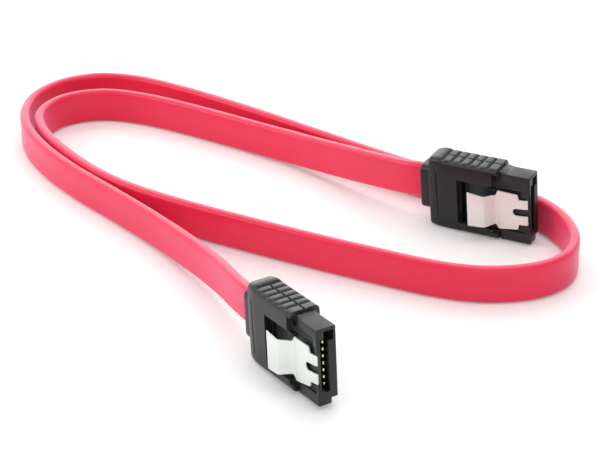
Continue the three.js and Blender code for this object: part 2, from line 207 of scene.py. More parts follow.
# Inside of the hood: half y, half z, corner and middle z of each section
CABLE_MIDDLE = 8.3
SOCKET_SECTION = (SPIGOT_HALF_Y + 0.05, 5.85, 0.3, 7.35)
SOCKET_END = 6.4
MOULD_SECTION = (1.72, 4.6, 0.3, HOOD_HALF_Z)
MOULD_END = 3.7
ENTRY_SECTION = (1.05, 3.6, 0.88, CABLE_MIDDLE)
ENTRY_MOUTH_SECTION = (1.12, 3.66, 0.92, CABLE_MIDDLE)
ENTRY_MOUTH_LENGTH = 0.12

# Latch
LATCH_THICKNESS = 0.25
LATCH_BLANK_HALF = 4.6       # of the strip before its outline is cut
LATCH_CUT_Y = (-6.0, 0.0)    # the cut reaches past the bent strip on both sides
LATCH_FINE_ROUND = 0.05
PAD_START = 8.9
PAD_FLAT_END = 12.3
PAD_Y = -4.3
CREASE = 14.2
PLATE_START = 14.6
PLATE_REAR_Y = -2.187
PLATE_FRONT_Y = -1.675
PRONG_TIP_Y = -1.455
LATCH_PROFILE = (            # x and y of the bent strip, from the prongs' tips to the pad's end
    (PRONG_END, PRONG_TIP_Y), (PRONG_END - 0.7, PLATE_FRONT_Y), (PLATE_START + 0.1, PLATE_REAR_Y),
    (CREASE - 0.2, PLATE_REAR_Y + 0.12), (CREASE - 0.75, PLATE_REAR_Y - 0.5),
    (PAD_FLAT_END, PAD_Y), (PAD_START + 0.35, PAD_Y + 0.02), (PAD_START, PAD_Y + 0.12),
)
LATCH_SIDE = (               # x and half width, from the pad's end to the fork
    (PAD_START - 1, 3.6), (PAD_FLAT_END, 3.2), (CREASE - 0.35, 3.0), (PLATE_START - 0.35, 4.0),
    (18.1, 3.65), (18.35, 2.6), (PRONG_END + 1, 2.6), (PRONG_END + 1, FORK_HALF),
)
BEND_REACH = 0.35
CORNER_REACH = 0.12
CORNER_CUTS = 3
FORK_DEPTH = 2.9

# Contacts
CONTACT_START = NOSE_START + 0.4
CONTACT_TIP = 19.45
CONTACT_BASE_Y = SLOT_Y[0] - 0.14
CONTACT_FOLD = (             # how far back from the tip, then how far out from the base
    (3.4, 0.0), (1.2, 0.42), (0.35, 0.5), (0.1, 0.6), (0.1, 0.9), (0.35, 1.0), (1.9, 0.74),
)
CONTACT_BEND = 0.14
CONTACT_BEND_STEPS = 4
CONTACT_HALF_WIDTH = 0.25
CONTACT_THICKNESS = 0.2
CONTACT_FINE_ROUND = 0.07

# Blocks that cut or join
FAR = 4.0                    # how far a cutting block runs past the face that it opens
OVERLAP = 1.0                # how far a block runs into the next form along x
BITE = 0.3                   # how far a block sinks into its neighbour
THIN_BITE = 0.1              # and where only a thin wall is behind it
HAIR = 0.01                  # keeps two faces out of one plane


# Camera and plug frames

def set_camera():
    level_up = Vector((0.0, math.sin(CAMERA_ELEVATION), math.cos(CAMERA_ELEVATION)))
    forward = Vector((0.0, math.cos(CAMERA_ELEVATION), -math.sin(CAMERA_ELEVATION)))
    level_right = Vector((1.0, 0.0, 0.0))
    right = level_right * math.cos(CAMERA_ROLL) + level_up * math.sin(CAMERA_ROLL)
    up = level_up * math.cos(CAMERA_ROLL) - level_right * math.sin(CAMERA_ROLL)
    data = bpy.data.cameras.new("camera")
    data.lens = CAMERA_LENS
    data.sensor_width = SENSOR_WIDTH
    data.clip_start = NEAR_CLIP
    camera = bpy.data.objects.new("camera", data)
    bpy.context.scene.collection.objects.link(camera)
    turned = Matrix((right, up, -forward)).transposed().to_4x4()
    spot = (CAMERA_TARGET - forward * CAMERA_DISTANCE) * MM
    camera.matrix_world = Matrix.Translation(spot) @ turned
    bpy.context.scene.camera = camera


def plug_frame(place):
    angles = (math.radians(place["lean"]), -math.radians(place["pitch"]), math.radians(place["turn"]))
    return Matrix.Translation(Vector(place["rear"]) * MM) @ Euler(angles, "XYZ").to_matrix().to_4x4()


PLUG_FRAMES = {letter: plug_frame(place) for letter, place in PLUG_PLACES.items()}


# Mesh helpers

def smooth_step(low, high, value):
    t = min(max((value - low) / (high - low), 0.0), 1.0)
    return t * t * (3 - 2 * t)


def new_piece(name, bm):
    bmesh.ops.recalc_face_normals(bm, faces=bm.faces)
    mesh = bpy.data.meshes.new(name)
    bm.to_mesh(mesh)
    bm.free()
    piece = bpy.data.objects.new(name, mesh)
    bpy.context.scene.collection.objects.link(piece)
    return piece


def loft(name, rings, ring_closes=False):
    bm = bmesh.new()
    rows = [[bm.verts.new(point) for point in ring] for ring in rings]
    pairs = list(zip(rows, rows[1:]))
    if ring_closes:
        pairs.append((rows[-1], rows[0]))
    else:
        bm.faces.new(rows[0])
        bm.faces.new(rows[-1])
    for near, far in pairs:
        for i in range(len(near)):
            k = (i + 1) % len(near)
            bm.faces.new((near[i], near[k], far[k], far[i]))
    return new_piece(name, bm)


def block(x, y, z, edge=0.0):
    """A block between two ends on each axis, its edges rounded by edge."""
    bm = bmesh.new()
    bmesh.ops.create_cube(bm, size=1.0)
    for vert in bm.verts:
        vert.co = Vector([ends[0] if c < 0 else ends[1] for c, ends in zip(vert.co, (x, y, z))])
    if edge:
        bmesh.ops.bevel(bm, geom=bm.edges[:], offset=edge, segments=3, profile=0.5, affect="EDGES")
    return new_piece("block", bm)


def prism(points, low, high, axis):
    """An outline drawn across one axis and given height along it.
    The points are (x, z) for axis y and (x, y) for axis z."""
    bm = bmesh.new()
    rows = []
    for height in (low, high):
        place = (lambda u, v: (u, height, v)) if axis == "y" else (lambda u, v: (u, v, height))
        rows.append([bm.verts.new(place(u, v)) for u, v in points])
    bm.faces.new(rows[0])
    bm.faces.new(rows[1])
    for i in range(len(points)):
        k = (i + 1) % len(points)
        bm.faces.new((rows[0][i], rows[0][k], rows[1][k], rows[1][i]))
    return new_piece("prism", bm)


def settle(piece):
    """Puts the result of the modifiers into the mesh."""
    evaluated = piece.evaluated_get(bpy.context.evaluated_depsgraph_get())
    mesh = bpy.data.meshes.new_from_object(evaluated)
    piece.modifiers.clear()
    piece.data = mesh


def combine(piece, tool, operation):
    step = piece.modifiers.new("step", "BOOLEAN")
    step.object = tool
    step.operation = operation
    step.solver = "EXACT"
    settle(piece)
    bpy.data.objects.remove(tool)


def cut(piece, tool):
    combine(piece, tool, "DIFFERENCE")


def join(piece, tool):
    combine(piece, tool, "UNION")


def trim_edges(piece, width):
    """A fine round on every sharp edge."""
    bevel = piece.modifiers.new("fine_round", "BEVEL")
    bevel.width = width
    bevel.segments = 2
    bevel.limit_method = "ANGLE"
    bevel.angle_limit = math.radians(40)
    bevel.use_clamp_overlap = True
    settle(piece)


def shade(piece, sharp_from=30.0):
    piece.data.shade_smooth()
    piece.data.set_sharp_from_angle(angle=math.radians(sharp_from))


def place_in_plug(model, name, letter, body, slot, *nodes):
    """A copy of a plug piece, brought from the plug's frame into the row frame."""
    piece = bpy.data.objects.new(name, model.data.copy())
    bpy.context.scene.collection.objects.link(piece)
    piece.data.transform(Matrix.Scale(MM, 4))
    piece.matrix_world = PLUG_FRAMES[letter]
    piece.data.materials.clear()
    piece.data.materials.append(PLUG_FINISHES[slot])
    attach(piece, body)
    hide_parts(*nodes)


# Cable

def along_route(points, per_stretch):
    """Points on the smooth curve through the route, with the knots spaced by the root of the distance."""
    ends = [points[0] * 2 - points[1], *points, points[-1] * 2 - points[-2]]
    line = []
    for p0, p1, p2, p3 in zip(ends, ends[1:], ends[2:], ends[3:]):
        d0, d1, d2 = (math.sqrt((b - a).length) for a, b in ((p0, p1), (p1, p2), (p2, p3)))
        t1 = ((p1 - p0) / d0 - (p2 - p0) / (d0 + d1) + (p2 - p1) / d1) * d1
        t2 = ((p2 - p1) / d1 - (p3 - p1) / (d1 + d2) + (p3 - p2) / d2) * d1
        for i in range(per_stretch):
            t = i / per_stretch
            squared = p1 * -3 + p2 * 3 - t1 * 2 - t2
            cubed = p1 * 2 - p2 * 2 + t1 + t2
            line.append(p1 + t1 * t + squared * t * t + cubed * t ** 3)
    line.append(points[-1])
    return line


def evenly_spaced(line, step):
    total = sum((b - a).length for a, b in zip(line, line[1:]))
    count = round(total / step)
    spots, passed, due = [line[0]], 0.0, total / count
    for a, b in zip(line, line[1:]):
        stretch = (b - a).length
        while passed + stretch >= due - 1e-9 and len(spots) < count:
            spots.append(a.lerp(b, (due - passed) / stretch))
            due += total / count
        passed += stretch
    return [*spots, line[-1]], total


def cable_section():
    """Points of the section: across the width, then across the thickness, each flat side slightly waisted."""
    flat_w = CABLE_WIDTH / 2 - CABLE_CORNER
    flat_t = CABLE_THICKNESS / 2 - CABLE_CORNER
    points = []
    for quarter, (sw, st) in enumerate(((1, 1), (-1, 1), (-1, -1), (1, -1))):
        for i in range(CABLE_CORNER_STEPS + 1):
            angle = math.radians(90 * quarter + 90 * i / CABLE_CORNER_STEPS)
            w = sw * flat_w + CABLE_CORNER * math.cos(angle)
            points.append((w, st * flat_t + CABLE_CORNER * math.sin(angle)))
        if quarter in (0, 2):
            for i in range(1, WAIST_STEPS):
                w = flat_w * (1 - 2 * i / WAIST_STEPS) * (1 if quarter == 0 else -1)
                waist = CABLE_WAIST * math.exp(-(w / WAIST_REACH) ** 2)
                points.append((w, st * (CABLE_THICKNESS / 2 - waist)))
    return points


def make_jacket(material):
    line = along_route([Vector(p) for p in CABLE_ROUTE], ROUTE_STEPS)
    centres, length = evenly_spaced(line, CABLE_RING_STEP)
    upright = Vector((0.0, 0.0, 1.0))
    plug_ups = {letter: PLUG_FRAMES[letter].to_3x3() @ upright for letter in "ab"}
    rings = []
    for i, centre in enumerate(centres):
        along = (centres[min(i + 1, len(centres) - 1)] - centres[max(i - 1, 0)]).normalized()
        from_a = length * i / (len(centres) - 1)
        near_a = 1 - smooth_step(0, CABLE_TWIST_LENGTH, from_a)
        near_b = 1 - smooth_step(0, CABLE_TWIST_LENGTH, length - from_a)
        up = upright.lerp(plug_ups["a"], near_a).lerp(plug_ups["b"], near_b)
        across = along.cross(up).normalized()
        up = across.cross(along)
        rings.append([(centre + up * w + across * t) * MM for w, t in cable_section()])
    jacket = loft("cable_outer_jacket", rings)
    shade(jacket, sharp_from=60.0)
    jacket.data.materials.append(material)
    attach(jacket, "cable")
    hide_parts("cable_jacket")


# Hood

NARROW_STEPS = (-1, -0.74, -0.5, -0.32, -0.2, -0.12, -0.06, 0, 0.06, 0.12, 0.2, 0.32, 0.5, 0.74, 1)
WIDE_STEPS = tuple(i / 9 for i in range(-9, 10))
CORNER_STEPS = 8
REAR_STATIONS = (0.04, 0.1, 0.2, 0.32, 0.46, 0.62, 0.8, 1.0, 1.2, 1.35)
SEAM_STATIONS = tuple(1.45 + 0.075 * i for i in range(13))
RIBBED_RUN = (2.45, HOOD_LENGTH - 0.3)
FRONT_STATIONS = (0.22, 0.16, 0.1, 0.05, 0.0)


def outline(half_y, half_z, corner, middle_z):
    """A rounded rectangle in (y, z), always with the same number of points in the same order."""
    low, high = corner - half_z, half_z - corner
    flat_y = half_y - corner
    points = []

    def turn(side_y, z, start):
        for i in range(1, CORNER_STEPS):
            angle = math.radians(start + 90 * i / CORNER_STEPS)
            points.append((side_y * flat_y + corner * math.cos(angle), z + corner * math.sin(angle)))

    points += [(-t * flat_y, half_z) for t in NARROW_STEPS]
    turn(-1, high, 90)
    points += [(-half_y, high + (low - high) * (t + 1) / 2) for t in WIDE_STEPS]
    turn(-1, low, 180)
    points += [(t * flat_y, -half_z) for t in NARROW_STEPS]
    turn(1, low, 270)
    points += [(half_y, low + (high - low) * (t + 1) / 2) for t in WIDE_STEPS]
    turn(1, high, 0)
    return [(y, z + middle_z) for y, z in points]


def ring_at(x, half_y, half_z, corner, middle_z):
    return [(x, y, z) for y, z in outline(half_y, half_z, corner, middle_z)]


def rib_groove(x):
    """How deep the nearest cross groove is at x, from 0 to 1. The ribs are round between the grooves."""
    past = x - RIB_START
    if past < 0:
        reach = -past
    elif past > RIB_PITCH * (RIB_COUNT - 0.5):
        reach = RIB_PITCH
    else:
        reach = abs((past + RIB_PITCH / 2) % RIB_PITCH - RIB_PITCH / 2)
    return max(0.0, 1 - reach / GROOVE_REACH) ** GROOVE_POWER


def seam_depth(x, z):
    """The fine bowed seam near the rear of each wide face."""
    down = min(max((SEAM_BOW_TOP - z) / SEAM_BOW_HEIGHT, 0.0), 1.0)
    middle = SEAM_X + SEAM_BOW * down * down
    ends = smooth_step(*SEAM_LOW_END, z) * (1 - smooth_step(*SEAM_HIGH_END, z))
    return SEAM_DEPTH * ends * math.exp(-((x - middle) / SEAM_REACH) ** 2)


def top_profile(x):
    """How far the top side departs from straight: a low hump at the rear, then the lower row of ribs."""
    ribs = smooth_step(*RIB_DROP_RUN, x)
    return HUMP * smooth_step(*HUMP_RISE, x) * (1 - ribs) - RIB_DROP * ribs


def hood_ring(x):
    back = max(0.0, 1 - x / TAPER_LENGTH) ** 2
    rim = max(0.0, 1 - x / REAR_ROUND)
    rounding = 1 - math.sqrt(1 - rim * rim)
    front = max(0.0, 1 - (HOOD_LENGTH - x) / FRONT_ROUND_LENGTH) ** 2 * FRONT_ROUND
    half_y = HOOD_HALF_Y - TAPER_Y * back - REAR_ROUND_Y * rounding - front
    half_z = HOOD_HALF_Z - TAPER_Z * back - REAR_ROUND * rounding - front
    ring = []
    for y, z in outline(half_y, half_z, HOOD_CORNER, HOOD_HALF_Z):
        height = (z - HOOD_HALF_Z) / half_z
        y *= 1 + HOOD_CROWN / HOOD_HALF_Y * (1 - height * height)
        if abs(y) > half_y - SEAM_MARGIN:
            y -= math.copysign(seam_depth(x, z), y)
        on_narrow = smooth_step(*ON_NARROW, abs(height))
        cross = GROOVE_DEPTH * rib_groove(x) * (1 - smooth_step(*RIB_ENDS, abs(y)))
        starts = smooth_step(*PARTING_STARTS, x)
        parting = PARTING_DEPTH * starts * math.exp(-(y / PARTING_REACH) ** 2)
        z -= math.copysign(max(cross, parting) * on_narrow, height)
        z += top_profile(x) * smooth_step(*SOFT_END, height)
        z -= LOW_FILL * (HOOD_HALF_Z - half_z) * smooth_step(*SOFT_END, -height)
        ring.append((x, y, z))
    return ring


def hood_stations():
    """Places of the hood's rings, close together wherever the shape changes fast."""
    steps = RIB_COUNT * RIB_STEPS
    start, end = RIBBED_RUN
    ribbed = [start + (end - start) * i / steps for i in range(steps + 1)]
    return [*REAR_STATIONS, *SEAM_STATIONS, *ribbed, *(HOOD_LENGTH - back for back in FRONT_STATIONS)]


def make_hood():
    rings = []
    for i in range(COLLAR_ROUND_STEPS + 1):
        turn = math.radians(90 * i / COLLAR_ROUND_STEPS)
        back = COLLAR_ROUND * (1 - math.sin(turn))
        x = -COLLAR_LENGTH + COLLAR_ROUND * (1 - math.cos(turn))
        half_y, half_z = COLLAR_HALF_Y - back, COLLAR_HALF_Z - back
        rings.append(ring_at(x, half_y, half_z, COLLAR_CORNER - back, COLLAR_MIDDLE))
    for x, out in COLLAR_FLARE:
        half_y = COLLAR_HALF_Y + COLLAR_FLARE_Y * out
        rings.append(ring_at(x, half_y, COLLAR_HALF_Z + out, COLLAR_CORNER, COLLAR_MIDDLE))
    rings += [hood_ring(x) for x in hood_stations()]

    # The inside, from the front rim back to the cable's entry
    inside = (
        (HOOD_LENGTH, SOCKET_SECTION), (SOCKET_END, SOCKET_SECTION),
        (SOCKET_END, MOULD_SECTION), (MOULD_END, MOULD_SECTION),
        (MOULD_END, ENTRY_SECTION), (-COLLAR_LENGTH + ENTRY_MOUTH_LENGTH, ENTRY_SECTION),
        (-COLLAR_LENGTH, ENTRY_MOUTH_SECTION),
    )
    rings += [ring_at(x, *section) for x, section in inside]
    hood = loft("hood_model", rings, ring_closes=True)

    # The latch's window and the shorter wall in front of it
    outside, front = -HOOD_HALF_Y - FAR, HOOD_LENGTH + FAR
    cut(hood, block((WINDOW_X, front), (outside, WINDOW_Y), WINDOW_Z, WINDOW_EDGE))
    wall_z = (FRONT_STRIP, 2 * HOOD_HALF_Z - FRONT_STRIP)
    cut(hood, block((LATCH_WALL_END, front), (outside, -SPIGOT_HALF_Y), wall_z, LATCH_WALL_EDGE))
    shade(hood, sharp_from=32.0)
    return hood


# Nose

def contact_heights():
    return [CONTACT_MIDDLE + CONTACT_PITCH * (i - (CONTACT_COUNT - 1) / 2) for i in range(CONTACT_COUNT)]


def rear_relief():
    """The rear of the nose's latch face falls away to the spigot in a soft round."""
    centre_x = NOSE_FRONT + RELIEF_RADIUS
    behind, outside = NOSE_FRONT - OVERLAP, -NOSE_HALF_Y - FAR
    curve = []
    for i in range(RELIEF_STEPS + 1):
        turn = math.radians(90 * i / RELIEF_STEPS)
        depth = (NOSE_HALF_Y + REAR_BED_Y) * (1 - math.sin(turn))
        curve.append((centre_x - RELIEF_RADIUS * math.cos(turn), -NOSE_HALF_Y + depth))
    around = [(behind, curve[0][1]), *curve, (centre_x, outside), (behind, outside)]
    return prism(around, NOSE_Z[0] + RELIEF_LOW, NOSE_Z[1] + FAR, "z")


def top_ramp():
    """The low rise of the nose's top towards the hood."""
    top = NOSE_Z[1]
    rise = [(NOSE_FRONT + x, top + NOSE_RAMP * share) for x, share in RAMP_PROFILE]
    end = NOSE_FRONT + RAMP_END
    around = [(rise[0][0], top - BITE), *rise, (end, top - 2 * HAIR), (end, top - BITE)]
    return prism(around, -SPIGOT_HALF_Y, SPIGOT_HALF_Y, "y")


def cut_latch_bed(nose):
    """The bed that the latch lies in, its prongs' run and pockets, its guides and the groove beside it."""
    outside = -NOSE_HALF_Y - FAR
    cut(nose, block((NOSE_FRONT - OVERLAP, PRONG_END), (outside, BED_Y), BED_Z, BED_EDGE))
    run_z = (LATCH_MIDDLE - PRONG_HALF - PRONG_ROOM, LATCH_MIDDLE + PRONG_HALF + PRONG_ROOM)
    cut(nose, block((NOSE_FRONT + OVERLAP, PLUG_LENGTH + FAR), (outside, BED_Y), run_z, RUN_EDGE))
    groove_x = (NOSE_FRONT - 2 * OVERLAP, SHADOW_GROOVE_END)
    cut(nose, block(groove_x, (outside, SHADOW_GROOVE_Y), SHADOW_GROOVE_Z, SHADOW_GROOVE_EDGE))
    rear_x = (NOSE_START - OVERLAP, NOSE_FRONT + REAR_BED_REACH)
    cut(nose, block(rear_x, (outside, REAR_BED_Y), BED_Z, RUN_EDGE))
    cut(nose, block((LATCH_WALL_END - BITE, NOSE_FRONT), (outside, REAR_BED_Y), (FRONT_STRIP, NOSE_Z[1])))
    pocket_x = (PRONG_END - POCKET_LENGTH, PRONG_END + POCKET_AHEAD)
    pocket_half = (PRONG_HALF - FORK_HALF + PRONG_ROOM) / 2
    for side in (-1, 1):
        middle = LATCH_MIDDLE + side * (PRONG_HALF + FORK_HALF) / 2
        pocket_z = (middle - pocket_half, middle + pocket_half)
        cut(nose, block(pocket_x, (outside, BED_Y + POCKET_DEPTH), pocket_z, POCKET_EDGE))
    for side in (-1, 1):
        middle = LATCH_MIDDLE + side * GUIDE_OFFSET
        join(nose, block(GUIDE_X, GUIDE_Y, (middle - GUIDE_HALF, middle + GUIDE_HALF), GUIDE_EDGE))


def cut_slot(nose):
    """The L-shaped slot, its near wall's setbacks, its far wall's lip and the contacts' channels."""
    mouth, near = PLUG_LENGTH + FAR, SLOT_Y[0] + THIN_BITE
    slot_x = (PLUG_LENGTH - SLOT_DEPTH, mouth)
    slot = block(slot_x, SLOT_Y, SLOT_Z)
    join(slot, block(slot_x, (SLOT_Y[1] - BITE, KEY_Y), KEY_Z))
    cut(nose, slot)
    cut(nose, block((PLUG_LENGTH - COMB_SETBACK, mouth), (COMB_Y, near), COMB_Z))
    rim_z = (COMB_Z[0] + 2 * HAIR, COMB_Z[1] - 2 * HAIR)
    cut(nose, block((PLUG_LENGTH - RIM_SETBACK, mouth), (RIM_Y, near + 2 * HAIR), rim_z))
    lip_z = (SLOT_Z[0] - BITE, KEY_Z[0])
    join(nose, block((PLUG_LENGTH - LIP_DEPTH, PLUG_LENGTH), (LIP_Y, SLOT_Y[1] + BITE), lip_z))
    channel_x = (NOSE_START - OVERLAP, mouth)
    for z in contact_heights():
        cut(nose, block(channel_x, (CHANNEL_Y, near), (z - CHANNEL_HALF, z + CHANNEL_HALF)))


def make_nose():
    nose = block((NOSE_FRONT, PLUG_LENGTH), (-NOSE_HALF_Y, NOSE_HALF_Y), NOSE_Z, NOSE_EDGE)
    cut(nose, rear_relief())
    join(nose, block((NOSE_FRONT + HAIR, PLUG_LENGTH - 2 * HAIR), FOOT_Y, FOOT_Z, FOOT_EDGE))
    spigot_y = (-SPIGOT_HALF_Y, SPIGOT_HALF_Y)
    join(nose, block((NOSE_START, NOSE_FRONT + OVERLAP), spigot_y, SPIGOT_Z, SPIGOT_EDGE))
    cut_latch_bed(nose)
    cut_slot(nose)
    join(nose, top_ramp())
    trim_edges(nose, NOSE_FINE_ROUND)
    shade(nose)
    return nose


# Latch

def rounded_line(points, reach, steps=6):
    """A line of straight runs whose bends are rounded over the given reach on each side."""
    line = [points[0]]
    for before, bend, after in zip(points, points[1:], points[2:]):
        into, out = before - bend, after - bend
        near = bend + into.normalized() * min(reach, into.length * 0.45)
        far = bend + out.normalized() * min(reach, out.length * 0.45)
        for i in range(steps + 1):
            t = i / steps
            line.append(near * (1 - t) ** 2 + bend * 2 * t * (1 - t) + far * t * t)
    return [*line, points[-1]]


def strip_outline(line, thickness):
    """The outline of a strip of even thickness along a line."""
    left, right = [], []
    for i, point in enumerate(line):
        along = (line[min(i + 1, len(line) - 1)] - line[max(i - 1, 0)]).normalized()
        out = Vector((-along.y, along.x)) * thickness / 2
        left.append(point + out)
        right.insert(0, point - out)
    return [tuple(p) for p in left + right]


def fork_round():
    """The half circle at the closed end of the fork between the prongs."""
    middle = PRONG_END - FORK_DEPTH + FORK_HALF
    turns = (math.radians(a) for a in range(0, 181, 15))
    return [Vector((middle - FORK_HALF * math.sin(turn), FORK_HALF * math.cos(turn))) for turn in turns]


def make_latch():
    """The bent strip, cut to the outline that its blank has when seen from the latch side."""
    profile = rounded_line([Vector(p) for p in LATCH_PROFILE], BEND_REACH)
    low, high = LATCH_MIDDLE - LATCH_BLANK_HALF, LATCH_MIDDLE + LATCH_BLANK_HALF
    latch = prism(strip_outline(profile, LATCH_THICKNESS), low, high, "z")
    upper = rounded_line([Vector(p) for p in LATCH_SIDE], CORNER_REACH, CORNER_CUTS)
    lower = [Vector((p.x, -p.y)) for p in reversed(upper)]
    around = [(p.x, p.y + LATCH_MIDDLE) for p in upper + fork_round() + lower]
    combine(latch, prism(around, *LATCH_CUT_Y, "y"), "INTERSECT")
    trim_edges(latch, LATCH_FINE_ROUND)
    shade(latch)
    return latch


# Contacts

def make_contact(z):
    """A gold strip in its channel, folded back over a rounded end so that its arm presses into the slot."""
    fold = [Vector((CONTACT_TIP - back, CONTACT_BASE_Y + out)) for back, out in CONTACT_FOLD]
    line = rounded_line([Vector((CONTACT_START, CONTACT_BASE_Y)), *fold], CONTACT_BEND, CONTACT_BEND_STEPS)
    low, high = z - CONTACT_HALF_WIDTH, z + CONTACT_HALF_WIDTH
    contact = prism(strip_outline(line, CONTACT_THICKNESS), low, high, "z")
    trim_edges(contact, CONTACT_FINE_ROUND)
    shade(contact)
    return contact


# Materials

NOISE_SPAN = (0.3, 0.7)      # most of a noise lies between these
DRAWN_PATCHES = 260.0


def new_group(name, inputs, outputs):
    group = bpy.data.node_groups.new(name, "ShaderNodeTree")
    for label, kind, value in inputs:
        socket = group.interface.new_socket(name=label, in_out="INPUT", socket_type=kind)
        socket.default_value = value
    for label, kind in outputs:
        group.interface.new_socket(name=label, in_out="OUTPUT", socket_type=kind)
    return group, group.nodes.new("NodeGroupInput"), group.nodes.new("NodeGroupOutput")


def object_noise(tree, scale_from, detail=2.0, stretch=None):
    """A noise node fed by the object's own coordinates, its scale taken from another socket."""
    coords = tree.nodes.new("ShaderNodeTexCoord")
    noise = tree.nodes.new("ShaderNodeTexNoise")
    noise.inputs["Detail"].default_value = detail
    spot = coords.outputs["Object"]
    if stretch:
        mapping = tree.nodes.new("ShaderNodeMapping")
        mapping.inputs["Scale"].default_value = stretch
        tree.links.new(spot, mapping.inputs["Vector"])
        spot = mapping.outputs["Vector"]
    tree.links.new(spot, noise.inputs["Vector"])
    tree.links.new(scale_from, noise.inputs["Scale"])
    return noise.outputs["Fac"]


def moulded_grain():
    """Fine moulded texture: a height for bumps and a slow tone for gloss."""
    tree, given, made = new_group(
        "moulded_grain",
        (("Grain scale", "NodeSocketFloat", 6000.0), ("Patch scale", "NodeSocketFloat", 160.0)),
        (("Height", "NodeSocketFloat"), ("Tone", "NodeSocketFloat")),
    )
    tree.links.new(object_noise(tree, given.outputs["Grain scale"], 3.0), made.inputs["Height"])
    tree.links.new(object_noise(tree, given.outputs["Patch scale"], 4.0), made.inputs["Tone"])
    return tree


def patchy_colour():
    """Two near colours mixed in soft patches."""
    tree, given, made = new_group(
        "patchy_colour",
        (
            ("Colour one", "NodeSocketColor", (0, 0, 0, 1)),
            ("Colour two", "NodeSocketColor", (1, 1, 1, 1)),
            ("Patch scale", "NodeSocketFloat", 120.0),
        ),
        (("Colour", "NodeSocketColor"),),
    )
    spread = tree.nodes.new("ShaderNodeMapRange")
    spread.inputs["From Min"].default_value = NOISE_SPAN[0]
    spread.inputs["From Max"].default_value = NOISE_SPAN[1]
    mix = tree.nodes.new("ShaderNodeMix")
    mix.data_type = "RGBA"
    tree.links.new(object_noise(tree, given.outputs["Patch scale"], 3.0), spread.inputs["Value"])
    tree.links.new(spread.outputs["Result"], mix.inputs["Factor"])
    tree.links.new(given.outputs["Colour one"], mix.inputs["A"])
    tree.links.new(given.outputs["Colour two"], mix.inputs["B"])
    tree.links.new(mix.outputs["Result"], made.inputs["Colour"])
    return tree


def drawn_lines():
    """Fine lines along x, as rolled or drawn metal has."""
    tree, given, made = new_group(
        "drawn_lines",
        (("Line scale", "NodeSocketFloat", 900.0),),
        (("Height", "NodeSocketFloat"), ("Tone", "NodeSocketFloat")),
    )
    lines = object_noise(tree, given.outputs["Line scale"], 3.0, (0.06, 2.0, 4.0))
    tree.links.new(lines, made.inputs["Height"])
    tree.links.new(lines, made.inputs["Tone"])
    return tree


def painted_edge_highlight():
    """A mask that is high on raised edges, where a lighter colour is laid on as a painted highlight."""
    tree, given, made = new_group(
        "painted_edge_highlight",
        (("Starts at", "NodeSocketFloat", 0.51), ("Full at", "NodeSocketFloat", 0.6)),
        (("Mask", "NodeSocketFloat"),),
    )
    geometry = tree.nodes.new("ShaderNodeNewGeometry")
    spread = tree.nodes.new("ShaderNodeMapRange")
    tree.links.new(geometry.outputs["Pointiness"], spread.inputs["Value"])
    tree.links.new(given.outputs["Starts at"], spread.inputs["From Min"])
    tree.links.new(given.outputs["Full at"], spread.inputs["From Max"])
    tree.links.new(spread.outputs["Result"], made.inputs["Mask"])
    return tree


GROUPS = {make.__name__: make() for make in (moulded_grain, patchy_colour, drawn_lines, painted_edge_highlight)}


def placed(tree, group_name, **values):
    node = tree.nodes.new("ShaderNodeGroup")
    node.node_tree = GROUPS[group_name]
    for label, value in values.items():
        node.inputs[label.replace("_", " ")].default_value = value
    return node


def new_material(name, **sockets):
    """A material with a Principled BSDF whose even values are set on its own sockets."""
    material = bpy.data.materials.new(name)
    material.use_nodes = True
    shader = material.node_tree.nodes["Principled BSDF"]
    for label, value in sockets.items():
        shader.inputs[label.replace("_", " ")].default_value = value
    return material, material.node_tree, shader


def link_bump(tree, shader, height, distance):
    bump = tree.nodes.new("ShaderNodeBump")
    bump.inputs["Distance"].default_value = distance
    bump.inputs["Strength"].default_value = 1.0
    tree.links.new(height, bump.inputs["Height"])
    tree.links.new(bump.outputs["Normal"], shader.inputs["Normal"])


def link_range(tree, value, low, high, target):
    spread = tree.nodes.new("ShaderNodeMapRange")
    spread.inputs["From Min"].default_value = NOISE_SPAN[0]
    spread.inputs["From Max"].default_value = NOISE_SPAN[1]
    spread.inputs["To Min"].default_value = low
    spread.inputs["To Max"].default_value = high
    tree.links.new(value, spread.inputs["Value"])
    tree.links.new(spread.outputs["Result"], target)


def grained(name, one, two, roughness, grain, patches, depth, highlight_colour=None, **sockets):
    """Plastic or foam: patchy colour, uneven gloss, a fine moulded grain and, where given, a painted
    highlight on raised edges.
    """
    material, tree, shader = new_material(name, **sockets)
    colour = placed(tree, "patchy_colour", Colour_one=(*one, 1), Colour_two=(*two, 1), Patch_scale=patches)
    surface = colour.outputs["Colour"]
    # A lighter colour on the raised edges: a painted highlight, not wear
    if highlight_colour:
        mask = placed(tree, "painted_edge_highlight")
        mix = tree.nodes.new("ShaderNodeMix")
        mix.data_type = "RGBA"
        mix.inputs["B"].default_value = (*highlight_colour, 1)
        tree.links.new(mask.outputs["Mask"], mix.inputs["Factor"])
        tree.links.new(surface, mix.inputs["A"])
        surface = mix.outputs["Result"]
    tree.links.new(surface, shader.inputs["Base Color"])
    texture = placed(tree, "moulded_grain", Grain_scale=grain, Patch_scale=patches)
    link_range(tree, texture.outputs["Tone"], roughness[0], roughness[1], shader.inputs["Roughness"])
    link_bump(tree, shader, texture.outputs["Height"], depth)
    return material


def drawn(name, one, two, roughness, scale, depth, metallic=1.0):
    """Metal with fine drawn lines."""
    material, tree, shader = new_material(name, Metallic=metallic)
    patches = placed(
        tree, "patchy_colour", Colour_one=(*one, 1), Colour_two=(*two, 1), Patch_scale=DRAWN_PATCHES,
    )
    tree.links.new(patches.outputs["Colour"], shader.inputs["Base Color"])
    lines = placed(tree, "drawn_lines", Line_scale=scale)
    link_range(tree, lines.outputs["Tone"], roughness[0], roughness[1], shader.inputs["Roughness"])
    link_bump(tree, shader, lines.outputs["Height"], depth)
    return material


